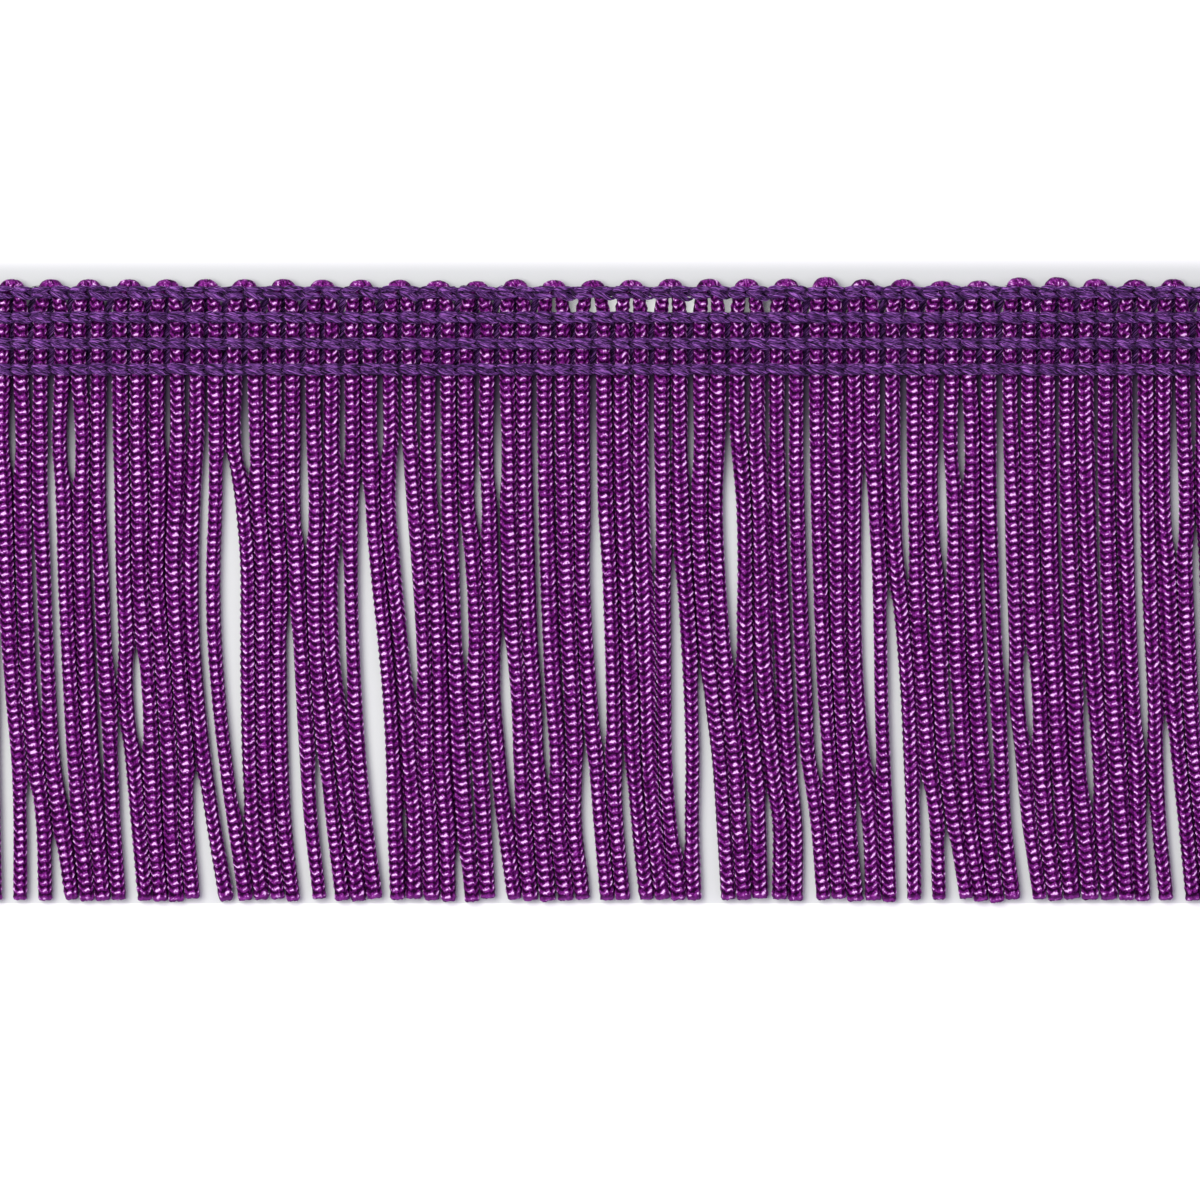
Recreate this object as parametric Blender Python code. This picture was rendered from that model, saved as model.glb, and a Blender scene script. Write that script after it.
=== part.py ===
"""Chainette fringe trim: a cut length that lies flat, with its fringe towards -Y.

One tube-knitted cord runs back and forth across the heading. It turns over in a small
bump, a picot, for every two strands, and its lower loops are cut open. Four rows of
chain stitch bind it, one stitch for each cord. +X runs along the heading, +Y points to
the picots, +Z is up, and the trim rests on Z = 0.
"""

import math

import bmesh
import bpy
import numpy as np

MM = 0.001

# Driving dimensions, in millimetres.
CORDS = 66  # two for every picot
PITCH = 1.581  # from cord to cord in the heading
CORD_WIDTH = 1.2
CORD_CROWN = 0.74  # width of a cord's top
CORD_HEIGHT = 1.22
CORD_GAP = 0.13  # least room left between two neighbours
FRINGE_LENGTH = 42.4
SEGMENTS = 9
TIP_FLARE = 1.05  # a cut end opens a little
TIP_STEP = 0.45
UNEVEN = 0.28  # spread of the tips' lengths
WANDER = 0.09  # spread of the roots along the heading

ROWS = 4
ROW_SPACING = 2.12
ROW_HALF = 0.4
LOWEST_ROW = 0.46  # the last row's middle, above the fringe's roots
BOUND_HEIGHT = 0.88  # where the rows squeeze the cords
SWELL = 0.27  # the cords swell again between two rows
PIT = 0.5  # and part in a pit

# A picot's rings: reach above the heading, width, height.
PICOT_RINGS = (
    (0.5, 2.3, CORD_HEIGHT),
    (0.8, 1.27, 0.85),
)
PICOT_ROUND = 0.25  # how much less its sides reach than its middle

STITCH_BASE = 1.18  # the rows' underside, clear of the cords
STITCH_SLANT = 0.24  # a stitch leans from upper left to lower right
STITCH_CROWN = 0.6  # its crown's share of its width
# A stitch's rings: place along it as a share of the pitch, half width, height of its top.
STITCH_RINGS = (
    (-0.5, 0.26, 1.66),
    (0.1, 0.42, 2.0),
)

# The fringe leans as it falls: sideways reach at the tips, and how late it sets in.
LEAN = 1.9
LEAN_POWER = 2.0
PUSHES = 600  # rounds in which crowded strands push each other aside
RETURN = 0.01  # share of the way back to its own place that a strand takes in a round

# Where the strands part, as they lie. Strand 0 is the first that hangs from the
# heading's left end. Depths are below the heading, and a parting whose end lies past the
# fringe is still open at the tips.
# strand on its left, depth where it opens, where it is widest, where it ends, width
PARTINGS = (
    (1, 19.0, 34.0, 70.0, 0.85),
    (2, 1.0, 5.0, 14.0, 0.33),
    (2, 28.0, 41.0, 75.0, 0.75),
    (3, 9.0, 16.0, 25.0, 0.2),
    (3, 34.0, 43.0, 80.0, 0.8),
    (4, 0.0, 10.0, 19.0, 0.5),
    (4, 29.0, 35.5, 40.0, 0.3),
    (5, 1.0, 4.5, 13.5, 0.5),
    (6, 17.0, 21.5, 25.0, 0.25),
    (7, 0.0, 12.0, 23.0, 0.5),
    (7, 28.0, 40.0, 75.0, 0.8),
    (8, 19.0, 26.0, 31.0, 0.5),
    (9, 0.0, 3.0, 8.5, 0.25),
    (11, 9.0, 12.5, 20.0, 0.4),
    (11, 28.0, 43.0, 70.0, 1.4),
    (12, 2.0, 8.0, 90.0, 0.5),
    (13, 2.5, 17.0, 43.0, 1.5),
    (14, 0.0, 3.5, 9.5, 0.65),
    (16, 9.0, 36.0, 90.0, 0.8),
    (17, 3.0, 8.0, 20.0, 0.5),
    (17, 21.0, 41.0, 90.0, 0.6),
    (18, 0.0, 1.5, 3.5, 0.3),
    (19, 4.0, 20.0, 35.0, 0.42),
    (20, 2.0, 28.0, 52.0, 1.55),
    (21, 0.0, 3.0, 8.5, 0.42),
    (21, 33.0, 37.0, 43.0, 0.3),
    (22, 1.0, 13.0, 35.0, 0.8),
    (24, 2.0, 12.0, 19.0, 0.28),
    (24, 38.0, 43.0, 70.0, 0.55),
    (25, 11.0, 18.5, 27.5, 0.45),
    (26, 34.0, 42.0, 70.0, 0.75),
    (27, 0.0, 4.0, 12.0, 0.5),
    (27, 18.0, 28.0, 36.0, 0.7),
    (28, 0.0, 1.5, 5.0, 0.4),
    (31, 28.0, 36.0, 60.0, 0.8),
    (32, 8.5, 17.0, 38.0, 0.85),
    (33, 22.0, 42.0, 80.0, 0.55),
    (36, 0.0, 4.0, 12.0, 0.25),
    (36, 6.0, 31.0, 43.0, 0.9),
    (37, 0.0, 3.0, 10.0, 0.33),
    (37, 18.0, 42.0, 66.0, 1.45),
    (39, 1.0, 12.0, 29.0, 0.95),
    (39, 26.0, 36.0, 44.0, 0.3),
    (40, 28.0, 36.0, 60.0, 0.4),
    (42, 30.0, 43.0, 80.0, 0.9),
    (45, 0.0, 3.0, 7.0, 0.33),
    (45, 28.0, 36.0, 60.0, 0.33),
    (46, 1.0, 20.0, 41.0, 0.8),
    (47, 11.0, 29.0, 75.0, 0.9),
    (48, 2.0, 6.0, 12.0, 0.33),
    (48, 28.0, 41.0, 75.0, 0.75),
    (49, 10.0, 20.0, 25.0, 0.25),
    (49, 34.0, 43.0, 80.0, 0.85),
    (50, 0.0, 10.5, 20.0, 0.5),
    (51, 0.0, 6.0, 14.0, 0.42),
    (53, 0.0, 12.0, 23.0, 0.5),
    (53, 29.0, 40.0, 75.0, 0.8),
    (54, 18.0, 25.0, 31.0, 0.5),
    (55, 0.0, 4.0, 8.5, 0.25),
    (57, 3.0, 7.5, 14.0, 0.35),
    (57, 18.0, 31.0, 41.0, 0.4),
    (59, 0.0, 3.0, 13.0, 0.3),
    (60, 29.0, 42.0, 75.0, 0.5),
    (61, 22.0, 39.0, 75.0, 0.9),
    (62, 0.0, 8.5, 18.0, 0.55),
    (63, 0.0, 2.0, 6.0, 0.4),
)


def material(name, colour, roughness):
    made = bpy.data.materials.new(name)
    made.use_nodes = True
    shader = made.node_tree.nodes["Principled BSDF"]
    shader.inputs["Base Color"].default_value = (*colour, 1)
    shader.inputs["Roughness"].default_value = roughness
    shader.inputs["Metallic"].default_value = 0.0
    return made


def parting_widths(depths):
    """Width of each parting at each depth: it swells and closes as two half cosines."""
    widths = np.zeros((len(depths), CORDS - 1))
    for left, opens, widest, ends, width in PARTINGS:
        rise = np.clip((depths - opens) / (widest - opens), 0, 1)
        fall = np.clip((ends - depths) / (ends - widest), 0, 1)
        widths[:, left] += width * (0.5 - 0.5 * np.cos(np.pi * np.minimum(rise, fall)))
    return widths


def strand_paths(depths, roots):
    """X of every strand at every depth. The strands start below their roots, and lean.

    Wherever two of them are nearer than a cord and their parting, each is pushed half of
    what is missing, over and over, until all of them have room.
    """
    lean = LEAN * (depths / FRINGE_LENGTH) ** LEAN_POWER
    home = roots[None, :] + lean[:, None]
    room = CORD_WIDTH + CORD_GAP + parting_widths(depths)
    x = home.copy()
    for _ in range(PUSHES):
        x += RETURN * (home - x)
        short = np.maximum(room - np.diff(x, axis=1), 0)
        x[:, :-1] -= 0.5 * short
        x[:, 1:] += 0.5 * short
    x[0] = roots
    return x


def bed_grid(roots, levels):
    """The cords side by side in the heading: a low slab, with two columns for a cord.

    Each cord is a bar with a narrower crown, so the faces between two cords widen upwards.
    """
    bed = bmesh.new()
    columns = 2 * CORDS
    bmesh.ops.create_grid(bed, x_segments=columns - 1, y_segments=len(levels) - 1, size=1)
    order = sorted(bed.verts, key=lambda vert: (round(vert.co.y, 4), vert.co.x))
    for place, vert in enumerate(order):
        level, column = divmod(place, columns)
        side = 1 if column % 2 else -1
        vert.co = (roots[column // 2] + side * CORD_WIDTH / 2, levels[level], 0)
    raised = bmesh.ops.extrude_face_region(bed, geom=bed.faces[:])
    for vert in raised["geom"]:
        if isinstance(vert, bmesh.types.BMVert):
            cord = np.abs(roots - vert.co.x).argmin()
            side = math.copysign(1, vert.co.x - roots[cord])
            vert.co.x = roots[cord] + side * CORD_CROWN / 2
            vert.co.z = BOUND_HEIGHT
    # The underside is flat, so it keeps no edges across the cords.
    across = [
        edge
        for edge in bed.edges
        if max(vert.co.z for vert in edge.verts) == 0
        and edge.verts[0].co.y == edge.verts[1].co.y
        and levels[0] + ROW_HALF < edge.verts[0].co.y < levels[-1] - ROW_HALF
    ]
    bmesh.ops.dissolve_edges(bed, edges=across, use_verts=True)
    bmesh.ops.recalc_face_normals(bed, faces=bed.faces)
    return bed


def swell_between_rows(bed, roots, levels):
    """Between two rows each cord's face rises to a crown, and the face beside it sinks."""
    gaps = list(zip(levels[1::2], levels[2::2]))
    for face in bed.faces[:]:
        middle = face.calc_center_median()
        between = any(low < middle.y < high for low, high in gaps)
        if face.normal.z > 0.5 and between:
            on_cord = np.abs(roots - middle.x).min() < CORD_CROWN / 2
            bmesh.ops.poke(bed, faces=[face], offset=SWELL if on_cord else -PIT)


def wall_faces(bed, level):
    """The faces of the wall at this level, from left to right: cord, gap, cord, gap ..."""
    wall = [face for face in bed.faces if abs(face.calc_center_median().y - level) < 1e-4]
    return sorted(wall, key=lambda face: face.calc_center_median().x)


def hang_strands(bed, levels, depths, paths, lengths):
    """Each cord's face in the lower wall is drawn out along its strand, ring by ring."""
    for strand, face in enumerate(wall_faces(bed, levels[0])[::2]):
        for ring in range(1, len(depths)):
            flare = TIP_FLARE if ring == len(depths) - 1 else 1
            face = bmesh.ops.extrude_discrete_faces(bed, faces=[face])["faces"][0]
            for vert in face.verts:
                top = vert.co.z > 0
                side = math.copysign(1, vert.co.x - paths[ring - 1, strand])
                half = (CORD_CROWN if top else CORD_WIDTH) / 2
                vert.co.x = paths[ring, strand] + side * half * flare
                vert.co.y = -depths[ring] * lengths[strand] / FRINGE_LENGTH
                vert.co.z = CORD_HEIGHT if top else 0


def turn_picots(bed, roots, levels):
    """Two cords and the face between them leave the upper wall together, as one bump."""
    wall = wall_faces(bed, levels[-1])
    for pair in range(CORDS // 2):
        middle = (roots[2 * pair] + roots[2 * pair + 1]) / 2
        faces = wall[4 * pair : 4 * pair + 3]
        for reach, width, height in PICOT_RINGS:
            turned = bmesh.ops.extrude_face_region(bed, geom=faces)["geom"]
            bmesh.ops.delete(bed, geom=faces, context="FACES_ONLY")
            faces = [part for part in turned if isinstance(part, bmesh.types.BMFace)]
            verts = {vert for face in faces for vert in face.verts}
            widest = max(abs(vert.co.x - middle) for vert in verts)
            for vert in verts:
                place = (vert.co.x - middle) / widest
                vert.co.x = middle + place * width / 2
                vert.co.y = levels[-1] + reach * (1 - PICOT_ROUND * place**2)
                if vert.co.z > 0:
                    vert.co.z = height


def chain_row(roots, middle):
    """One row: a bar whose section swells at each stitch and narrows between two."""
    row = bmesh.new()
    rings = []
    for root in roots:
        for along, half, top in STITCH_RINGS:
            x = root + along * PITCH
            section = (
                (x + STITCH_SLANT, middle - half, STITCH_BASE),
                (x + STITCH_CROWN * STITCH_SLANT, middle - STITCH_CROWN * half, top),
                (x - STITCH_CROWN * STITCH_SLANT, middle + STITCH_CROWN * half, top),
                (x - STITCH_SLANT, middle + half, STITCH_BASE),
            )
            rings.append([row.verts.new(point) for point in section])
    for one, other in zip(rings, rings[1:]):
        for corner in range(4):
            after = (corner + 1) % 4
            row.faces.new((one[corner], one[after], other[after], other[corner]))
    row.faces.new(rings[0])
    row.faces.new(rings[-1])
    bmesh.ops.recalc_face_normals(row, faces=row.faces)
    return row


def finish(name, shape, look, collection, shift):
    """Puts a shape into the scene in metres, with its place in its mesh."""
    bmesh.ops.translate(shape, verts=shape.verts, vec=shift)
    bmesh.ops.scale(shape, verts=shape.verts, vec=(MM, MM, MM))
    mesh = bpy.data.meshes.new(name)
    shape.to_mesh(mesh)
    shape.free()
    mesh.materials.append(look)
    collection.objects.link(bpy.data.objects.new(name, mesh))


def main():
    for leftover in list(bpy.data.objects):
        bpy.data.objects.remove(leftover)
    collection = bpy.data.collections.new("chainette_fringe_trim")
    bpy.context.scene.collection.children.link(collection)
    rng = np.random.default_rng(11)

    roots = (np.arange(CORDS) - (CORDS - 1) / 2) * PITCH
    roots = roots + WANDER * rng.uniform(-1, 1, CORDS)
    row_middles = [LOWEST_ROW + ROW_SPACING * row for row in range(ROWS)]
    levels = [middle + side * ROW_HALF for middle in row_middles for side in (-1, 1)]
    falling = np.linspace(0, FRINGE_LENGTH - TIP_STEP, SEGMENTS)
    depths = np.append(falling, FRINGE_LENGTH)
    paths = strand_paths(depths, roots)
    lengths = FRINGE_LENGTH + UNEVEN * rng.normal(0, 1, CORDS)

    fringe = bed_grid(roots, levels)
    swell_between_rows(fringe, roots, levels)
    hang_strands(fringe, levels, depths, paths, lengths)
    turn_picots(fringe, roots, levels)

    # The origin is the middle of the whole trim's underside.
    xs = [vert.co.x for vert in fringe.verts]
    ys = [vert.co.y for vert in fringe.verts]
    shift = (-(min(xs) + max(xs)) / 2, -(min(ys) + max(ys)) / 2, 0)
    rayon = material("tube_knitted_rayon", (0.19, 0.02, 0.2), 0.3)
    finish("fringe", fringe, rayon, collection, shift)
    yarn = material("spun_yarn", (0.22, 0.07, 0.35), 0.8)
    for number, middle in enumerate(reversed(row_middles), start=1):
        finish(f"chain_row_{number}", chain_row(roots, middle), yarn, collection, shift)


main()
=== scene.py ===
import math

import bpy
import numpy as np
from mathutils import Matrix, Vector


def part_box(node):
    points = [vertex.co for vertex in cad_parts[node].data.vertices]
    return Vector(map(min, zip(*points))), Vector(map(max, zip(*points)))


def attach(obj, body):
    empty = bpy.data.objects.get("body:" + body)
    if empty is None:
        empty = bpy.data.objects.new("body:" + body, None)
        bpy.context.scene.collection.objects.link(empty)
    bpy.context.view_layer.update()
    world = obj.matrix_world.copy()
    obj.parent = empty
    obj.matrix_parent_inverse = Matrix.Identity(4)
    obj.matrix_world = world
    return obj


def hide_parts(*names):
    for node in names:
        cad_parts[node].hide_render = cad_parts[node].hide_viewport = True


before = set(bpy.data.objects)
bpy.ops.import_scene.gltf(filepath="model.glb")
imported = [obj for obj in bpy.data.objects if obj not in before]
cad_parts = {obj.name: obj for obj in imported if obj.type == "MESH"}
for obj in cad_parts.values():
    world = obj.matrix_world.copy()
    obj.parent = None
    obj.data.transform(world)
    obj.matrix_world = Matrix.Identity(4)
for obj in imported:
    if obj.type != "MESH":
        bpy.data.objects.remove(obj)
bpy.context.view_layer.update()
MM = 0.001

# ---------------------------------------------------------------------------
# The cords. The real ones are thin tubes knitted on three needles from glossy
# rayon filament. Each is laid up and down again, and the turn stands out of the
# heading as a picot, so two neighbouring strands are one cord. Sizes are in mm.
# ---------------------------------------------------------------------------
CORD_RADIUS = 0.735  # over the loops
COURSE = 0.625  # from one loop of a needle to its next
ROWS_A_COURSE = 4
COURSE_HEIGHTS = np.array([0.0, 0.48, 1.0, 0.45])  # from the hollow over a leg to the next hollow
COLUMNS = 18  # three loops round, each of two legs, each leg three columns wide
# Round a cord to the right from its top: how far each column lies towards the tip, how high it
# stands on a leg, and how high in the hollow between two legs. The heights set the relief, and
# through the colour ramp the painted highlight on a leg and the painted shade in a hollow. First
# for a loop that faces up, then for one turned to the left, whose far leg shows as a dash of
# painted highlight and the next loop as a tick.
STRAIGHT_LOOP = (
    (0.0, -0.1, -0.3, -0.42, -0.2, 0.1, 0.2, 0.0, -0.2, 0.0, 0.2, 0.0, -0.2, -0.35, -0.42, -0.3, -0.12, 0.08),
    (0.4, 0.88, 1.0, 0.45, 0.8, 1.0, 0.5, 0.9, 0.9, 0.4, 0.9, 0.9, 0.5, 0.9, 0.75, 0.35, 0.8, 0.98),
    (0.0, 0.06, 0.26, 0.1, 0.1, 0.1, 0.1, 0.1, 0.1, 0.1, 0.1, 0.1, 0.1, 0.1, 0.14, 0.02, 0.24, 0.12),
)
TURNED_LOOP = (
    (0.04, 0.0, -0.06, 0.1, -0.12, -0.3, -0.3, 0.0, 0.2, 0.0, -0.2, 0.0, 0.2, 0.0, -0.3, -0.42, -0.34, -0.12),
    (0.72, 1.0, 0.92, 0.35, 0.95, 0.6, 0.4, 0.9, 0.9, 0.4, 0.9, 0.9, 0.4, 0.8, 0.5, 0.45, 0.95, 0.6),
    (0.0, 0.08, 0.26, 0.04, 0.16, 0.18, 0.1, 0.1, 0.1, 0.1, 0.1, 0.1, 0.1, 0.1, 0.14, 0.2, 0.18, 0.0),
)
SHARE_TURNED = 0.75  # of the strands
LOOP_RELIEF = 0.17
UNEVEN_KNIT = 0.07
TIGHTEST, LOOSEST = 0.985, 1.015  # a strand's own course, as a share of COURSE
PICOT_HALF_WIDTH, PICOT_HEIGHT = 0.47, 0.27
PICOT_SQUARENESS = 0.8  # below 1 the turn is fuller than an ellipse
PICOT_SPREAD = 1.9  # the way over which the two strands of a picot come apart
PICOT_LENGTH = 1.6  # along the cord from the middle of its turn; the loops are flatter there
TURN_POINTS, HEADING_POINTS, FALL_POINTS = 14, 42, 180  # of a strand's middle line
FLATNESS = 0.87  # height of a cord on the table by its width
# Half widths: a soft cord spreads to press on one close by, and draws in alone.
TOUCHING, SQUEEZED, FREE = 0.83, 0.68, 0.66
PRESSED_IN = 0.06
NARROW_LENGTH = 9.0  # below the heading, where the stitches still hold the cords narrow
TIPS_UNEVEN = 0.28  # of how uneven the CAD has them
PRESSED = 0.25  # how much flatter a cord is under a row of stitches
PRESSED_HALF_WIDTH = 0.6
NARROWER_IN_HEADING = 0.09
RAGGED = 0.2  # how far the loops at a cut end stand back from each other
FRAYED_LENGTH, ROUNDED_LENGTH = 0.55, 0.3  # at a cut end
BACK_LIFT = 0.18  # the backs of the stitches hold the cords off the table
OPEN_HEADING = (-4.4, 14.2)  # from the trim's middle; the table shows between the top gap's cords
CORDS_A_PIECE = (7, 7, 7, 6, 6)
# The cord's base colour ramp. The hollow colour is painted shade in the hollows, and the shoulder and crest
# colours are a painted highlight along each leg; the rayon colour between is the cord's own.
HOLLOW_SHADE_COLOUR = "#12000f"
RAYON_COLOUR = "#560d59"
SHOULDER_LIGHT_COLOUR = "#862989"
CREST_HIGHLIGHT_COLOUR = "#f2c2f6"
CUT_END_COLOUR = "#8a3a92"

rng = np.random.default_rng(29)


def corner_points(node):
    """The corners of a CAD node, in millimetres."""
    flat = np.empty(3 * len(node.data.vertices), np.float32)
    node.data.vertices.foreach_get("co", flat)
    return flat.reshape(-1, 3).astype(float) / MM


def strand_middles(points, apart=0.3):
    """Corners sorted across the trim fall into clumps, two to a strand. A middle is the mean of the
    means of two clumps. Returns the middles, and how far down each strand reaches."""
    points = points[np.argsort(points[:, 0])]
    starts = np.append(0, np.flatnonzero(np.diff(points[:, 0]) > apart) + 1)
    counts = np.diff(np.append(starts, len(points)))
    means = np.add.reduceat(points[:, :2], starts) / counts[:, None]
    ends = np.minimum.reduceat(points[:, 1], starts)
    return means.reshape(-1, 2, 2).mean(1), ends.reshape(-1, 2).min(1)


def smooth_through(at, knots, values):
    """Cubic Hermite curve through the knots, its slope at a knot the mean of the slopes on its two sides."""
    knots = np.asarray(knots, float)
    values = np.asarray(values, float)
    steps = np.diff(knots)
    slopes = np.diff(values) / steps
    tangents = np.concatenate([slopes[:1], (slopes[1:] + slopes[:-1]) / 2, slopes[-1:]])
    span = np.clip(np.searchsorted(knots, at, "right") - 1, 0, len(steps) - 1)
    t = (at - knots[span]) / steps[span]
    start = (1 + 2 * t) * (1 - t) ** 2 * values[span] + t * (1 - t) ** 2 * steps[span] * tangents[span]
    end = t * t * (3 - 2 * t) * values[span + 1] + t * t * (t - 1) * steps[span] * tangents[span + 1]
    return start + end


def smooth_step(x):
    """0 below 0, 1 above 1, and 3x^2 - 2x^3 between."""
    x = np.clip(x, 0, 1)
    return x * x * (3 - 2 * x)


# The rows, and each strand's root, way and tip, as the CAD solids have them. A strand's bar
# has its corners in rings across it, and a ring's upper corners lie at the bar's full height.
BAR_HEIGHT = 1.22
fringe = corner_points(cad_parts["fringe"])
row_middles = [sum(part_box(f"chain_row_{row}")[end].y for end in (0, 1)) / 2 / MM for row in (1, 2, 3, 4)]
top_gap = (row_middles[0] + row_middles[1]) / 2
heading_edge = row_middles[3] - 0.4
at_root = fringe[(fringe[:, 2] < 0.02) & (np.abs(fringe[:, 1] - heading_edge) < 0.15)]
roots = strand_middles(at_root, 0.12)[0][:, 0]
crowns = fringe[(np.abs(fringe[:, 2] - BAR_HEIGHT) < 0.02) & (fringe[:, 1] < heading_edge - 1)]
crowns = crowns[np.argsort(-crowns[:, 1])]
rings = np.split(crowns, np.flatnonzero(-np.diff(crowns[:, 1]) > 1) + 1)
crossings = np.array([strand_middles(ring)[0] for ring in rings])
tips = strand_middles(rings[-1])[1]
tips = tips.min() + TIPS_UNEVEN * (tips - tips.min())
picot_rises = rng.normal(0.12, 0.06, len(roots) // 2)  # from the middle of the top row to the turn


def half_path(strand):
    """Middle line of one strand: a quarter turn from the top of its picot, a way down the heading,
    then its own fall through the places where the CAD strand crosses its rings."""
    pair = strand // 2
    side = 1 if strand % 2 else -1
    middle = (roots[2 * pair] + roots[2 * pair + 1]) / 2
    bow = row_middles[0] + picot_rises[pair]
    angle = np.linspace(math.pi / 2, 0, TURN_POINTS)
    out = PICOT_HALF_WIDTH * np.cos(angle).clip(0) ** PICOT_SQUARENESS
    turn = np.stack([middle + side * out, bow + PICOT_HEIGHT * np.sin(angle) ** PICOT_SQUARENESS], 1)
    y = np.linspace(bow, heading_edge, HEADING_POINTS)[1:-1]
    apart = roots[strand] - middle - side * PICOT_HALF_WIDTH
    x = middle + side * PICOT_HALF_WIDTH + apart * smooth_step((bow - y) / PICOT_SPREAD)
    down = np.stack([x, y], 1)
    knots_y = np.concatenate([[heading_edge + 2.1, heading_edge], crossings[:, strand, 1]])
    knots_x = np.concatenate([[roots[strand], roots[strand]], crossings[:, strand, 0]])
    y = np.linspace(heading_edge, tips[strand], FALL_POINTS)
    fall = np.stack([smooth_through(-y, -knots_y, knots_x), y], 1)
    return np.concatenate([turn, down, fall])


def strands_at(y):
    """Where each strand crosses one or more heights."""
    past_turn = slice(TURN_POINTS - 1, None)
    return np.array([np.interp(-y, -half[past_turn, 1], half[past_turn, 0]) for half in halves])


halves = [half_path(strand) for strand in range(len(roots))]
levels = np.linspace(heading_edge, tips.min(), 240)
places = strands_at(levels)


def half_width(left, right):
    """At each level, half the width of a strand on the side of its neighbour: half the way between
    them, inside limits, narrower where they lie apart, and held narrow near the heading."""
    held = 1 - smooth_step((heading_edge - levels) / NARROW_LENGTH)
    free = FREE + 0.04 * held
    touching = TOUCHING - 0.05 * held
    if left < 0 or right == len(places):
        return free
    half_way = (places[right] - places[left]) / 2
    apart = smooth_step((half_way - touching + PRESSED_IN) / 0.08)
    return np.clip(half_way + PRESSED_IN, SQUEEZED, touching) - (touching - free) * apart


def facing():
    """How a strand lies, going round to the right: its turn, and the columns of its loop."""
    if rng.random() < SHARE_TURNED:
        turn, loop = rng.normal(-0.5, 0.1), TURNED_LOOP
    else:
        turn, loop = rng.normal(-0.03, 0.12), STRAIGHT_LOOP
    return turn, np.array(loop) * [[rng.uniform(0.85, 1.15)], [1], [1]]


def cord_rows(reach):
    """The rows of a cord from tip to tip: each one's number from the picot, its way from there, and
    its side. The knit is tighter or looser from strand to strand, and drawn in near the picot."""
    sides = []
    for side, far in zip((-1, 1), reach):
        number = np.arange(int((far + 1.1) / COURSE / TIGHTEST * ROWS_A_COURSE))
        tension = rng.uniform(TIGHTEST, LOOSEST)
        drawn_in = rng.uniform(0.5, 0.95) * (1 - np.exp(-number / 8))
        along = number * COURSE / ROWS_A_COURSE * tension - drawn_in
        sides.append(np.stack([number, 0.05 + along, np.full(len(number), side)], 1))
    return np.concatenate([sides[0][::-1], sides[1]]).T


def along_line(line, length, at, step=0.05):
    """The points of a line at some lengths along it, and the level unit vectors square to it there."""
    here, ahead, behind = (
        np.stack([np.interp(at + off, length, line[:, axis]) for axis in (0, 1)], -1)
        for off in (0, step, -step)
    )
    tangent = ahead - behind
    tangent = tangent / np.linalg.norm(tangent, axis=-1, keepdims=True)
    return here, np.stack([tangent[..., 1], -tangent[..., 0]], -1)


def loop_heights(number, crests, hollows, turned, whole, y):
    """How high each point stands, from 0 in a hollow to 1 on a leg; it sets the relief, and the
    painted highlight and painted shade of the cord's colour. It rises over each leg row by row, is
    lower and less even in the picot, lower and frayed at the cut end, and a little lower in the
    heading, which paints the cords there a little darker as shade between the rows."""
    over = COURSE_HEIGHTS[(number.astype(int) + 2) % ROWS_A_COURSE][:, None]
    height = over * crests + (1 - over) * hollows
    height = height * (1 - 0.62 * turned) + 0.38 * turned
    height = height * (1 + (UNEVEN_KNIT + 0.4 * turned) * rng.normal(0, 1, height.shape))
    height = np.minimum(height, 1.2 - 0.5 * turned)
    height = height * (0.4 + 0.6 * whole) + 0.22 * (1 - whole) * rng.normal(1, 1, height.shape)
    return height * (1 - 0.05 * smooth_step(y - heading_edge))


def press(pair, middle, side, sideways, under_row):
    """How far out to the side the points lie once the cord is in its place: bound narrow in the
    heading, its picot's other strand beside it, and below as wide as its neighbours let it be."""
    x, y = middle[..., 0], middle[..., 1]
    in_heading = smooth_step((y - heading_edge) / 0.8)
    off_middle = x - roots.mean()
    opened = smooth_step(off_middle - OPEN_HEADING[0]) * smooth_step(OPEN_HEADING[1] - off_middle)
    opened = opened * np.exp(-(((y - top_gap) / 0.6) ** 2))
    sideways = sideways * (1 - in_heading * (NARROWER_IN_HEADING + 0.02 * under_row + 0.02 * opened))
    pair_middle = (roots[2 * pair] + roots[2 * pair + 1]) / 2
    room = np.clip(np.abs(x - pair_middle) / 0.7, 0.45, 1)
    inside = np.where(y > row_middles[3], room, 1)
    sideways = np.where(sideways > 0, sideways * inside, sideways)
    beside = [half_width(2 * pair + at, 2 * pair + at + 1) for at in (-1, 0, 1)]
    beside = [np.interp(-y, -levels, width) for width in beside]
    outer = np.where(side[:, None] < 0, beside[0], beside[2])
    width = np.where(sideways > 0, beside[1], outer) / CORD_RADIUS
    return sideways * (width + (1 - width) * in_heading)


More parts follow.
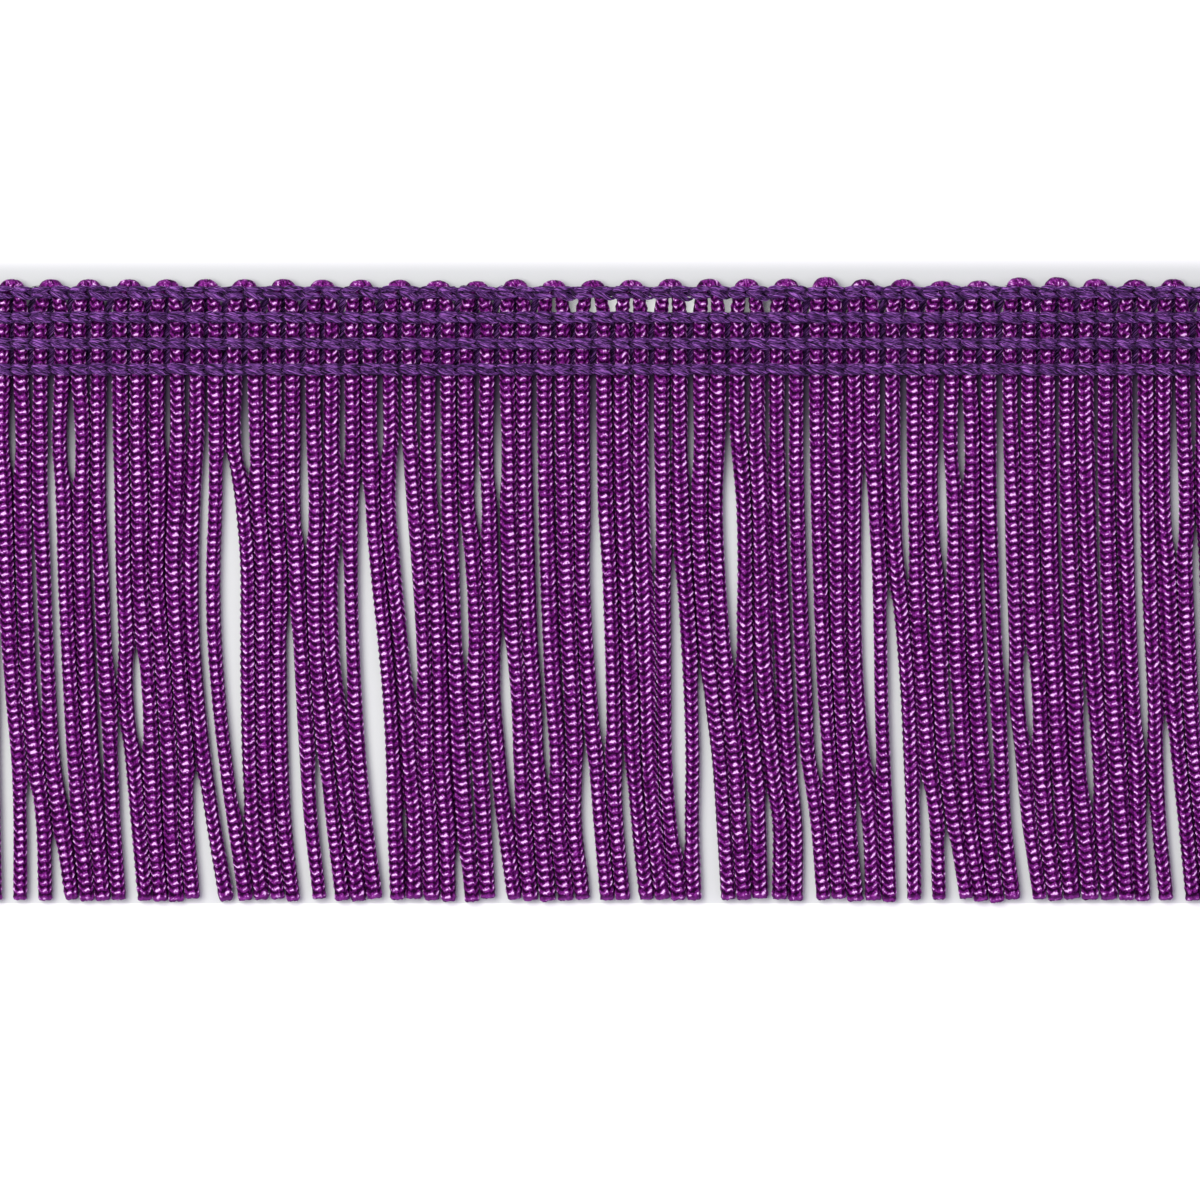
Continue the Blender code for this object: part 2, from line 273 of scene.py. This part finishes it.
def knit_cord(pair):
    """A tube round a middle line. Its rows follow the legs of the loops, and its radius rises over
    each leg and falls in the hollow between two. Returns the points, and for each its height on the
    loop, its place in the lay of the filament, and how frayed it is."""
    first, second = halves[2 * pair], halves[2 * pair + 1]
    line = np.concatenate([first[::-1], second[1:]])
    length = np.append(0, np.cumsum(np.hypot(*np.diff(line, axis=0).T)))
    length = length - length[len(first) - 1]
    reach = (-length[0], length[-1])
    left_turn, left_loop = facing()
    right_turn, right_loop = facing()
    number, along, side = cord_rows(reach)
    far = np.where(side < 0, reach[0], reach[1])
    slow = 1 + 0.02 * np.sin(along * rng.uniform(0.15, 0.4) + rng.uniform(0, 6))
    shifted = smooth_step(along / 1.4) * smooth_step((far - along) / 0.9)
    swap = smooth_step((side * along + 2.5) / 5)
    mirrored = -np.arange(COLUMNS) % COLUMNS
    other_side = right_loop[:, None, mirrored] - left_loop[:, None]
    shift, crests, hollows = left_loop[:, None] + other_side * swap[:, None]
    left_cut, right_cut = rng.uniform(0, RAGGED, COLUMNS), rng.uniform(0, RAGGED, COLUMNS)
    cut_back = np.where(side[:, None] < 0, left_cut, right_cut)
    place = np.clip(along[:, None] + shifted[:, None] * shift, 0.03, far[:, None] - cut_back)
    middle, across = along_line(line, length, side[:, None] * place)

    turned = 1 - smooth_step(along / PICOT_LENGTH)[:, None]
    to_end = far[:, None] - place
    whole = smooth_step(to_end / FRAYED_LENGTH)
    height = loop_heights(number, crests, hollows, turned, whole, middle[..., 1])
    radius = CORD_RADIUS * slow[:, None] - LOOP_RELIEF * (1 - 0.55 * turned) * (1 - height)
    bulge = np.where(side < 0, rng.uniform(-0.02, 0.12), rng.uniform(-0.02, 0.12))[:, None]
    rounding = np.sqrt(1 - 0.75 * np.clip(1 - to_end / ROUNDED_LENGTH, 0, 1) ** 2)
    radius = radius * (1 + bulge * (1 - whole)) * rounding

    drift = 0.2 * np.sin(along * rng.uniform(0.06, 0.14) + rng.uniform(0, 6)) * smooth_step(along / 4)
    turning = left_turn + (-right_turn - left_turn) * swap + drift
    column_angle = 2 * math.pi * np.arange(COLUMNS) / COLUMNS
    angle = column_angle + turning[:, None]
    under_row = sum(np.exp(-(((middle[..., 1] - row) / PRESSED_HALF_WIDTH) ** 2)) for row in row_middles)
    flat = FLATNESS * (1 - PRESSED * under_row)
    lift = BACK_LIFT * smooth_step((middle[..., 1] - heading_edge + 0.4) / 0.7)
    points = np.empty(radius.shape + (3,))
    sideways = press(pair, middle, side, radius * np.sin(angle), under_row)
    points[..., :2] = middle + across * sideways[..., None]
    points[..., 2] = np.maximum(CORD_RADIUS * flat + lift + radius * flat * np.cos(angle), 0)
    lay = np.stack(
        [
            CORD_RADIUS * np.sin(column_angle) + 0 * along[:, None],
            CORD_RADIUS * np.cos(column_angle) + 0 * along[:, None],
            (side * along)[:, None] + 200 * pair + 0 * column_angle,
        ],
        -1,
    )
    return points, {"loop_height": height, "lay": lay, "frayed": 1 - whole}


def tube_mesh(name, tubes):
    """One mesh from tubes. Each is (rings, columns, 3) points, every ring joined to the next all the
    way round, and each end closed by a fan to its middle point. The second thing in a tube is its
    named values, one for each point."""
    points, quads, fans = [], [], []
    values = {key: [] for key in tubes[0][1]}
    start = 0
    for grid, tags in tubes:
        count, columns = grid.shape[:2]
        ring = np.arange(count - 1)[:, None] * columns
        column = np.arange(columns)[None, :]
        after = (column + 1) % columns
        corners = (ring + column, ring + after, ring + columns + after, ring + columns + column)
        quads.append(start + np.stack(corners, -1).reshape(-1, 4))
        around, onward = np.arange(columns), (np.arange(columns) + 1) % columns
        last = (count - 1) * columns
        hub = count * columns
        fans.append(start + np.stack([onward, around, np.full(columns, hub)], 1))
        fans.append(start + np.stack([last + around, last + onward, np.full(columns, hub + 1)], 1))
        points.append(grid.reshape(-1, 3))
        points.append(np.stack([grid[0].mean(0), grid[-1].mean(0)]))
        for key, value in tags.items():
            flat = value.reshape(count * columns, -1)
            values[key].append(np.concatenate([flat, flat[:1], flat[-1:]]))
        start += hub + 2
    points = np.concatenate(points) * MM
    quads, fans = np.concatenate(quads), np.concatenate(fans)
    mesh = bpy.data.meshes.new(name)
    mesh.vertices.add(len(points))
    mesh.vertices.foreach_set("co", points.ravel())
    mesh.loops.add(quads.size + fans.size)
    mesh.loops.foreach_set("vertex_index", np.concatenate([quads.ravel(), fans.ravel()]))
    mesh.polygons.add(len(quads) + len(fans))
    sizes = np.concatenate([np.full(len(quads), 4), np.full(len(fans), 3)])
    mesh.polygons.foreach_set("loop_start", np.append(0, np.cumsum(sizes)[:-1]))
    mesh.polygons.foreach_set("use_smooth", np.ones(len(sizes), bool))
    for key, value in values.items():
        value = np.concatenate(value)
        kind, field = ("FLOAT", "value") if value.shape[1] == 1 else ("FLOAT_VECTOR", "vector")
        mesh.attributes.new(key, kind, "POINT").data.foreach_set(field, value.ravel())
    mesh.update(calc_edges=True)
    mesh.validate()
    piece = bpy.data.objects.new(name, mesh)
    bpy.context.scene.collection.objects.link(piece)
    return piece


def linear(colour):
    """An sRGB hex colour as linear red, green, blue and an alpha of 1."""
    parts = [int(colour[i : i + 2], 16) / 255 for i in (1, 3, 5)]
    return [p / 12.92 if p <= 0.04045 else ((p + 0.055) / 1.055) ** 2.4 for p in parts] + [1.0]


def add_node(material, kind, settings=None, **inputs):
    """Adds a node: its settings are set on it, and each input takes a value or another node's output."""
    node = material.node_tree.nodes.new(kind)
    for key, value in (settings or {}).items():
        setattr(node, key, value)
    for key, value in inputs.items():
        socket = node.inputs[int(key[1:]) if key[1:].isdigit() else key.replace("_", " ")]
        if isinstance(value, bpy.types.NodeSocket):
            material.node_tree.links.new(value, socket)
        else:
            socket.default_value = value
    return node


# Rayon filament, knitted: smooth regenerated cellulose. The hard pinkish light along the back of
# each leg of a loop is a painted highlight, and the nearly black hollows are painted shade, both
# set in the base colour from the loop height. Single filaments are finer than the render shows:
# they are drawn as streaks 0.2 mm apart along a cord.
FILAMENT_SCALE = (1.6, 1.6, 5.5)  # a millimetre, across and along the cord
MOTTLE_SCALE = 7.0  # a millimetre
# The patches make the painted highlight stronger on some loops and weaker on the next.
PATCH_SCALE = 1.9  # a millimetre: some loops shine and the next are dull
ADD_TO, SCALED = {"operation": "MULTIPLY_ADD"}, {"operation": "MULTIPLY"}
COLOURS = {"data_type": "RGBA"}
rayon = bpy.data.materials.new("tube_knitted_rayon")
rayon.use_nodes = True
skin = rayon.node_tree.nodes["Principled BSDF"]
height = add_node(rayon, "ShaderNodeAttribute", {"attribute_name": "loop_height"}).outputs["Fac"]
lay = add_node(rayon, "ShaderNodeAttribute", {"attribute_name": "lay"}).outputs["Vector"]
frayed = add_node(rayon, "ShaderNodeAttribute", {"attribute_name": "frayed"}).outputs["Fac"]
across_lay = add_node(rayon, "ShaderNodeMapping", Vector=lay, Scale=FILAMENT_SCALE)
filament = add_node(rayon, "ShaderNodeTexNoise", Vector=across_lay.outputs[0], Scale=1.0, Detail=2.0)
place = add_node(rayon, "ShaderNodeTexCoord").outputs["Object"]
mottle = add_node(rayon, "ShaderNodeTexNoise", Vector=place, Scale=MOTTLE_SCALE / MM, Detail=1.0)
mottled = add_node(rayon, "ShaderNodeMath", ADD_TO, i0=mottle.outputs[0], i1=0.9, i2=-0.7)
uneven = add_node(rayon, "ShaderNodeMath", ADD_TO, i0=filament.outputs[0], i1=0.5, i2=mottled.outputs[0])
patchy = add_node(rayon, "ShaderNodeTexNoise", Vector=lay, Scale=PATCH_SCALE, Detail=1.0)
highlight_patches = add_node(rayon, "ShaderNodeMath", ADD_TO, i0=patchy.outputs[0], i1=0.9, i2=0.57)
# The ramp's level: the loop height, scaled by the patches, paints the highlight on the legs and the shade in
# the hollows; the filament streaks and the mottle add the rayon's own uneven tone.
level = add_node(rayon, "ShaderNodeMath", ADD_TO, i0=height, i1=highlight_patches.outputs[0], i2=uneven.outputs[0])
ramp = add_node(rayon, "ShaderNodeValToRGB", Fac=level.outputs[0])
ramp.color_ramp.elements[0].position = 0.18
ramp.color_ramp.elements[0].color = linear(HOLLOW_SHADE_COLOUR)
ramp.color_ramp.elements[1].position = 0.95
ramp.color_ramp.elements[1].color = linear(CREST_HIGHLIGHT_COLOUR)
ramp.color_ramp.elements.new(0.42).color = linear(RAYON_COLOUR)
ramp.color_ramp.elements.new(0.7).color = linear(SHOULDER_LIGHT_COLOUR)
worn = add_node(rayon, "ShaderNodeMath", ADD_TO, i0=filament.outputs[0], i1=1.2, i2=0.1)
fray = add_node(rayon, "ShaderNodeMath", SCALED, i0=worn.outputs[0], i1=frayed)
cut_end = add_node(
    rayon, "ShaderNodeMix", COLOURS, i0=fray.outputs[0], i6=ramp.outputs[0], i7=linear(CUT_END_COLOUR)
)
rayon.node_tree.links.new(cut_end.outputs[2], skin.inputs["Base Color"])
smooth = add_node(
    rayon, "ShaderNodeMapRange", Value=height, From_Min=0.2, From_Max=0.8, To_Min=0.75, To_Max=0.3
)
dull = add_node(rayon, "ShaderNodeMath", ADD_TO, i0=frayed, i1=0.4, i2=smooth.outputs[0])
rayon.node_tree.links.new(dull.outputs[0], skin.inputs["Roughness"])
ridges = add_node(rayon, "ShaderNodeBump", Height=filament.outputs[0], Strength=0.25, Distance=0.03 * MM)
rayon.node_tree.links.new(ridges.outputs[0], skin.inputs["Normal"])
skin.inputs["IOR"].default_value = 1.54
skin.inputs["Specular IOR Level"].default_value = 0.4
skin.inputs["Specular Tint"].default_value = linear("#c04cd8")

cords = [knit_cord(pair) for pair in range(len(roots) // 2)]
taken = 0
for number, share in enumerate(CORDS_A_PIECE, start=1):
    piece = tube_mesh(f"chainette_cords_{number}", cords[taken : taken + share])
    taken += share
    piece.data.materials.append(rayon)
    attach(piece, "root")
    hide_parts("fringe")

# ---------------------------------------------------------------------------
# The chain-stitch rows. Soft spun yarn: a link comes up between two cords, lies
# over one cord as two legs side by side, opens round the next needle hole and
# closes beyond it, where the following link comes up through it.
# ---------------------------------------------------------------------------
LINK_KNOTS = (0.0, 0.2, 0.46, 0.66, 0.82, 0.93, 1.0)
LINK_APART = (0.03, 0.16, 0.195, 0.235, 0.29, 0.22, 0.02)  # half the way between the two legs
LINK_RISE = (0.9, 1.44, 1.5, 1.38, 1.28, 1.2, 1.1)
LINK_YARN = (0.11, 0.23, 0.26, 0.22, 0.15, 0.13, 0.12)  # radius of the yarn
LINK_START, LINK_END = -0.06, 1.22  # in stitches, from the hole that it comes up through
LINK_RINGS, LINK_COLUMNS = 10, 8
LINK_SLANT = 0.12
PAST_LAST_CORD = 0.79  # from the first and last cord to the holes beside them
TOP_ROW_DROP = -0.1
PICOT_HUMP = 0.06  # the top row rises over the foot of each picot
PLY_RELIEF = 0.14
FIBRE_TWIST = 1.5  # in radians a millimetre
FIBRES_A_ROW = 900
FIBRE_RINGS = 4
FIBRE_RADIUS = 0.038
YARN_DARK, YARN_COLOUR, YARN_LIGHT = "#14041c", "#54246d", "#a464be"


def across_and_up(middle):
    """At each point of a line in space, a unit vector level and square to it, and one square to both."""
    tangent = np.gradient(middle, axis=0)
    tangent = tangent / np.linalg.norm(tangent, axis=1, keepdims=True)
    side = np.cross(tangent, (0, 0, 1))
    side = side / np.linalg.norm(side, axis=1, keepdims=True)
    return side, np.cross(side, tangent)


def yarn_tube(middle, radius, columns, flatness, twist, seed):
    """A tube round a line in space, its radius swelling over each of two plies that wind round it."""
    side, up = across_and_up(middle)
    length = np.append(0, np.cumsum(np.linalg.norm(np.diff(middle, axis=0), axis=1)))
    angle = 2 * math.pi * np.arange(columns) / columns
    ply = 0.5 + 0.5 * np.cos(2 * angle - (twist * length)[:, None] - seed)
    size = radius[:, None] * (1 - PLY_RELIEF + PLY_RELIEF * ply)
    points = middle[:, None] + side[:, None] * (size * np.sin(angle))[..., None]
    points = points + up[:, None] * (flatness * size * np.cos(angle))[..., None]
    spiral = angle - (FIBRE_TWIST * length)[:, None]
    lay = np.stack([size * np.sin(spiral), size * np.cos(spiral), length[:, None] + seed + 0 * angle], -1)
    return points, {"loop_height": ply, "lay": lay}


def link_leg(number, link, side, t):
    """Middle line and yarn radius of one leg of a link, for t from 0 where it comes up to 1 where it
    closes."""
    holes = needle_holes[number]
    along = LINK_START + (LINK_END - LINK_START) * t
    x = holes[link] + (holes[link + 1] - holes[link]) * along
    apart = smooth_through(t, LINK_KNOTS, LINK_APART)
    y = row_middles[number] + side * apart - LINK_SLANT * (along - 0.5)
    if number == 0:
        wave = np.cos(math.pi * (link + along - 1))
        wider = (0.06 + 0.12 * np.clip(-wave, 0, 1)) * np.sin(math.pi * np.clip(t, 0, 1))
        y = y + TOP_ROW_DROP + PICOT_HUMP * wave + side * wider
    z = smooth_through(t, LINK_KNOTS, LINK_RISE)
    return np.stack([x, y, z], 1), smooth_through(t, LINK_KNOTS, LINK_YARN)


def loose_fibre(number, link, side):
    """A hair-thin tube that follows a stretch of a leg of a link, just outside its yarn, and strays
    a little from it."""
    start = rng.uniform(0.02, 0.6)
    t = start + np.linspace(0, 1, FIBRE_RINGS) * rng.uniform(0.2, 0.38)
    line, yarn = link_leg(number, link, side, t)
    level, up = across_and_up(line)
    angle = rng.uniform(-1.5, 1.5) + rng.uniform(-0.9, 1.3) * np.linspace(0, 1, FIBRE_RINGS)
    out = yarn * (rng.uniform(0.95, 1.12) + rng.uniform(0, 0.35) * np.linspace(-1, 1, FIBRE_RINGS) ** 2)
    line = line + level * (out * np.sin(angle))[:, None] + up * (out * np.cos(angle))[:, None]
    taper = FIBRE_RADIUS * rng.uniform(0.7, 1.3) * np.array([0.3] + [1.0] * (FIBRE_RINGS - 2) + [0.3])
    points, tags = yarn_tube(line, taper, 3, 1.0, 0.0, rng.uniform(0, 40))
    tags["loop_height"] = rng.uniform(-0.6, 2.3) + 0 * tags["loop_height"]
    return points, tags


def needle_line(row):
    """Where the needle goes through along a row: halfway between neighbouring cords, and beside the
    first and last."""
    x = strands_at(row)
    return np.concatenate([[x[0] - PAST_LAST_CORD], (x[1:] + x[:-1]) / 2, [x[-1] + PAST_LAST_CORD]])


needle_holes = [needle_line(row) for row in row_middles]

# Soft spun yarn: short fibres twisted together, so it is dull and a little fuzzy, with fine
# light and dark streaks along its twist. Single fibres are finer than the render shows: the
# streaks are drawn 0.1 mm apart and 0.8 mm long.
FIBRE_SCALE = (12.0, 12.0, 1.3)  # a millimetre, across and along the yarn
spun = bpy.data.materials.new("soft_spun_yarn")
spun.use_nodes = True
skin = spun.node_tree.nodes["Principled BSDF"]
height = add_node(spun, "ShaderNodeAttribute", {"attribute_name": "loop_height"}).outputs["Fac"]
lay = add_node(spun, "ShaderNodeAttribute", {"attribute_name": "lay"}).outputs["Vector"]
along_yarn = add_node(spun, "ShaderNodeMapping", Vector=lay, Scale=FIBRE_SCALE)
fibres = add_node(spun, "ShaderNodeTexNoise", Vector=along_yarn.outputs[0], Scale=1.0, Detail=3.0)
streaks = add_node(spun, "ShaderNodeMath", ADD_TO, i0=fibres.outputs[0], i1=3.8, i2=-1.68)
# The loop height makes the yarn lighter over each ply and darker between plies and where a link goes into a
# needle hole: painted highlight and painted shade. The streaks are the yarn's own, and a loose fibre's random
# height is a tone of its own.
level = add_node(spun, "ShaderNodeMath", ADD_TO, i0=height, i1=0.35, i2=streaks.outputs[0])
ramp = add_node(spun, "ShaderNodeValToRGB", Fac=level.outputs[0])
ramp.color_ramp.elements[0].color = linear(YARN_DARK)
ramp.color_ramp.elements[1].color = linear(YARN_LIGHT)
ramp.color_ramp.elements.new(0.5).color = linear(YARN_COLOUR)
spun.node_tree.links.new(ramp.outputs[0], skin.inputs["Base Color"])
fuzz = add_node(spun, "ShaderNodeBump", Height=fibres.outputs[0], Strength=0.7, Distance=0.06 * MM)
spun.node_tree.links.new(fuzz.outputs[0], skin.inputs["Normal"])
skin.inputs["Roughness"].default_value = 0.85
skin.inputs["Specular IOR Level"].default_value = 0.2
skin.inputs["Sheen Weight"].default_value = 0.12
skin.inputs["Sheen Tint"].default_value = linear("#c08ae0")
skin.inputs["Sheen Roughness"].default_value = 0.5

for number in range(len(row_middles)):
    legs, hairs = [], []
    t = np.linspace(0, 1, LINK_RINGS)
    # Painted shade on the yarn where a link goes down into a needle hole, at both ends.
    hole_shade = np.exp(-(((t - 0.9) / 0.14) ** 2)) + np.exp(-((t / 0.11) ** 2))
    for link in range(len(roots)):
        for side in (-1, 1):
            line, yarn = link_leg(number, link, side, t)
            line = line + (0, 0.03 * rng.normal(), 0)
            yarn = yarn * rng.uniform(0.92, 1.08)
            points, tags = yarn_tube(line, yarn, LINK_COLUMNS, 1.0, 4.0, rng.uniform(0, 40))
            tags["loop_height"] = tags["loop_height"] - 1.2 * hole_shade[:, None]
            legs.append((points, tags))
    for _ in range(FIBRES_A_ROW):
        hairs.append(loose_fibre(number, rng.integers(0, len(roots)), rng.choice((-1, 1))))
    stitches = tube_mesh(f"chain_stitches_{number + 1}", legs)
    fibres = tube_mesh(f"loose_fibres_{number + 1}", hairs)
    for piece in (stitches, fibres):
        piece.data.materials.append(spun)
        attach(piece, "root")
        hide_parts(f"chain_row_{number + 1}")

# ---------------------------------------------------------------------------
# The backs of the stitches: on the table side each row's looper yarn runs straight
# and holds the cords, and the looper yarn of the next goes to and fro between rows.
# ---------------------------------------------------------------------------
BACK_MIDDLE, BACK_HALF_THICKNESS = 0.105, 0.1  # up from the table
BACK_OFFSETS = (0, -0.2, 0, 0.12)
BACK_HALF_WIDTHS = (0.42, 0.7, 0.7, 0.56)
BACK_TWIST = 2.5
TO_AND_FRO_RINGS = 6  # to a stitch
TO_AND_FRO_REACH = 0.95
TO_AND_FRO_HALF_WIDTH, TO_AND_FRO_FLATNESS = 0.36, 0.28
ROUNDED = 0.98  # the turns of the to-and-fro line, a triangle wave when this is 1
for number, (row, holes) in enumerate(zip(row_middles, needle_holes), start=1):
    x = np.linspace(holes[0], holes[-1], 2 * len(roots))
    y = row + BACK_OFFSETS[number - 1] + 0.05 * np.sin(2.2 * x)
    line = np.stack([x, y, BACK_MIDDLE + 0 * x], 1)
    wide = BACK_HALF_WIDTHS[number - 1]
    backs = [yarn_tube(line, wide + 0 * x, 8, BACK_HALF_THICKNESS / wide, BACK_TWIST, 3.0 * number)]
    if number < len(row_middles):
        stitch = np.arange(TO_AND_FRO_RINGS * len(roots) + 1) / TO_AND_FRO_RINGS
        x = np.interp(stitch, np.arange(len(holes)), holes)
        half_way = (row + row_middles[number]) / 2
        y = half_way + TO_AND_FRO_REACH * np.arcsin(ROUNDED * np.sin(2 * math.pi * stitch)) / 1.37
        line = np.stack([x, y, BACK_MIDDLE + 0 * x], 1)
        from_middle = x - roots.mean()
        open_runs = [from_middle < OPEN_HEADING[0], from_middle > OPEN_HEADING[1]]
        for run in open_runs if number == 1 else [slice(None)]:
            wide = TO_AND_FRO_HALF_WIDTH + 0 * x[run]
            backs.append(yarn_tube(line[run], wide, 6, TO_AND_FRO_FLATNESS, BACK_TWIST, 5.0 * number))
    piece = tube_mesh(f"stitch_backs_{number}", backs)
    piece.data.materials.append(spun)
    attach(piece, "root")
    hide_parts(f"chain_row_{number}")

# ---------------------------------------------------------------------------
# The table: a flat, pale sheet that the trim lies on. It isn't part of the trim.
# Its tones follow the photo: white above and below, a touch greyer round the trim.
# ---------------------------------------------------------------------------
CARD_TOP, CARD_FADE = 25.9, 1.9  # the greyer part fades to white above this height
BELOW_TIPS = 0.05  # and ends this far below the lowest tip
SHADED_LENGTH = 11.0  # below the heading
SHEET_COLOUR, CARD_COLOUR, CARD_BY_HEADING = "#fafafa", "#dddfde", "#d1d3d2"
SHADE_COLOUR, NARROW_GAP_SHADE_COLOUR, BRIGHT_GAP_COLOUR = "#4c3f56", "#4f2a5a", "#f6faf4"
AT_Y, SMOOTH = "ShaderNodeMapRange", {"interpolation_type": "SMOOTHSTEP"}
WITHIN, BELOW = {"operation": "COMPARE"}, {"operation": "LESS_THAN"}

bpy.ops.mesh.primitive_grid_add(x_subdivisions=2, y_subdivisions=2, size=3.0, location=(0, 0, -0.02 * MM))
floor = bpy.context.object
floor.name = "table"
# Matt white paper: uncoated, so it spreads the light and shows no reflection.
paper = bpy.data.materials.new("matt_white_paper")
paper.use_nodes = True
skin = paper.node_tree.nodes["Principled BSDF"]
place = add_node(paper, "ShaderNodeTexCoord").outputs["Object"]
axes = add_node(paper, "ShaderNodeSeparateXYZ", Vector=place)
at_x, at_y = axes.outputs["X"], axes.outputs["Y"]
past_top = add_node(
    paper, AT_Y, SMOOTH, Value=at_y, From_Min=CARD_TOP * MM, From_Max=(CARD_TOP + CARD_FADE) * MM
)
by_heading = add_node(
    paper, AT_Y, Value=at_y, From_Min=(row_middles[0] - 0.4) * MM, From_Max=(row_middles[0] + 0.6) * MM
)
past_bottom = add_node(paper, "ShaderNodeMath", BELOW, i0=at_y, i1=(min(tips) - BELOW_TIPS) * MM)
beyond = add_node(
    paper, "ShaderNodeMath", {"operation": "MAXIMUM"}, i0=past_top.outputs[0], i1=past_bottom.outputs[0]
)
card = add_node(
    paper,
    "ShaderNodeMix",
    COLOURS,
    i0=by_heading.outputs[0],
    i6=linear(CARD_COLOUR),
    i7=linear(CARD_BY_HEADING),
)
# In the photo the table between the cords is in shade for some way below the heading, and dark
# wherever two cords lie close. Both shades are tones of the table here.
near_heading = add_node(
    paper,
    AT_Y,
    SMOOTH,
    Value=at_y,
    From_Min=(heading_edge - SHADED_LENGTH) * MM,
    From_Max=(heading_edge - 1) * MM,
    To_Max=0.95,
)
half_length = (roots[-1] - roots[0]) / 2 * MM
under_trim = add_node(paper, "ShaderNodeMath", WITHIN, i0=at_x, i1=roots.mean() * MM, i2=half_length)
below_top = add_node(paper, "ShaderNodeMath", BELOW, i0=at_y, i1=row_middles[1] * MM)
shade = add_node(paper, "ShaderNodeMath", SCALED, i0=near_heading.outputs[0], i1=under_trim.outputs[0])
shade = add_node(paper, "ShaderNodeMath", SCALED, i0=shade.outputs[0], i1=below_top.outputs[0])
shaded = add_node(
    paper, "ShaderNodeMix", COLOURS, i0=shade.outputs[0], i6=card.outputs[2], i7=linear(SHADE_COLOUR)
)
tone = add_node(
    paper, "ShaderNodeMix", COLOURS, i0=beyond.outputs[0], i6=shaded.outputs[2], i7=linear(SHEET_COLOUR)
)
open_sky = add_node(paper, "ShaderNodeAmbientOcclusion", {"samples": 12}, Distance=1.5 * MM)
narrow = add_node(
    paper,
    "ShaderNodeMapRange",
    Value=open_sky.outputs["AO"],
    From_Min=0.1,
    From_Max=0.33,
    To_Min=1,
    To_Max=0,
)
between = add_node(
    paper, "ShaderNodeMix", COLOURS, i0=narrow.outputs[0], i6=tone.outputs[2], i7=linear(NARROW_GAP_SHADE_COLOUR)
)
paper.node_tree.links.new(between.outputs[2], skin.inputs["Base Color"])
# In the photo the table is bright where it shows in the top gap of the heading. Here it glows
# there, most in the middle of that stretch, and the glow fades to the ends.
open_middle = roots.mean() + (OPEN_HEADING[0] + OPEN_HEADING[1]) / 2
open_half = (OPEN_HEADING[1] - OPEN_HEADING[0]) / 2
in_top_gap = add_node(paper, "ShaderNodeMath", WITHIN, i0=at_y, i1=top_gap * MM, i2=0.75 * MM)
from_open = add_node(paper, "ShaderNodeMath", {"operation": "SUBTRACT"}, i0=at_x, i1=open_middle * MM)
from_open = add_node(paper, "ShaderNodeMath", {"operation": "ABSOLUTE"}, i0=from_open.outputs[0])
under_open = add_node(
    paper,
    "ShaderNodeMapRange",
    Value=from_open.outputs[0],
    From_Min=0.35 * open_half * MM,
    From_Max=open_half * MM,
    To_Min=0.5,
    To_Max=0.02,
)
glow = add_node(paper, "ShaderNodeMath", SCALED, i0=in_top_gap.outputs[0], i1=under_open.outputs[0])
paper.node_tree.links.new(glow.outputs[0], skin.inputs["Emission Strength"])
skin.inputs["Emission Color"].default_value = linear(BRIGHT_GAP_COLOUR)
skin.inputs["Roughness"].default_value = 0.9
skin.inputs["Specular IOR Level"].default_value = 0.1
floor.data.materials.append(paper)

# ---------------------------------------------------------------------------
# The light and the camera. A wide softbox stands at the upper left and a strip at
# the right, in a pale room. The camera looks straight down, as the photo does.
# ---------------------------------------------------------------------------
LENS, SENSOR = 200.0, 36.0
PHOTO_WIDTH = 97.96  # the width of the photograph on the table
VIEW_FROM_TRIM = (0.588, -18.83)  # from the trim's middle and its lowest row to the photo's middle
LIGHTS = (
    ("softbox_key", (-0.27, 0.13, 0.62), (0.5, 0.4), 4.3),
    ("strip_right", (0.55, 0.05, 0.34), (0.2, 0.4), 0.5),
)

world = bpy.data.worlds.new("soft_room")
bpy.context.scene.world = world
world.use_nodes = True
world.node_tree.nodes["Background"].inputs[0].default_value = (1.0, 0.92, 1.18, 1)
world.node_tree.nodes["Background"].inputs[1].default_value = 0.5

for name, spot, size, power in LIGHTS:
    lamp = bpy.data.lights.new(name, "AREA")
    lamp.shape = "RECTANGLE"
    lamp.size, lamp.size_y = size
    lamp.energy = power
    lamp.color = (1.0, 1.03, 0.94)
    light = bpy.data.objects.new(name, lamp)
    light.location = spot
    aim = -light.location
    light.rotation_euler = aim.to_track_quat("-Z", "Y").to_euler()
    bpy.context.scene.collection.objects.link(light)

lens = bpy.data.cameras.new("overhead")
lens.lens, lens.sensor_width = LENS, SENSOR
lens.clip_start, lens.clip_end = 0.01, 10
camera = bpy.data.objects.new("overhead", lens)
camera.location = (
    (roots.mean() + VIEW_FROM_TRIM[0]) * MM,
    (row_middles[3] + VIEW_FROM_TRIM[1]) * MM,
    (PHOTO_WIDTH * LENS / SENSOR + 1.0) * MM,
)
bpy.context.scene.collection.objects.link(camera)
bpy.context.scene.camera = camera
bpy.context.scene.view_settings.view_transform = "Standard"
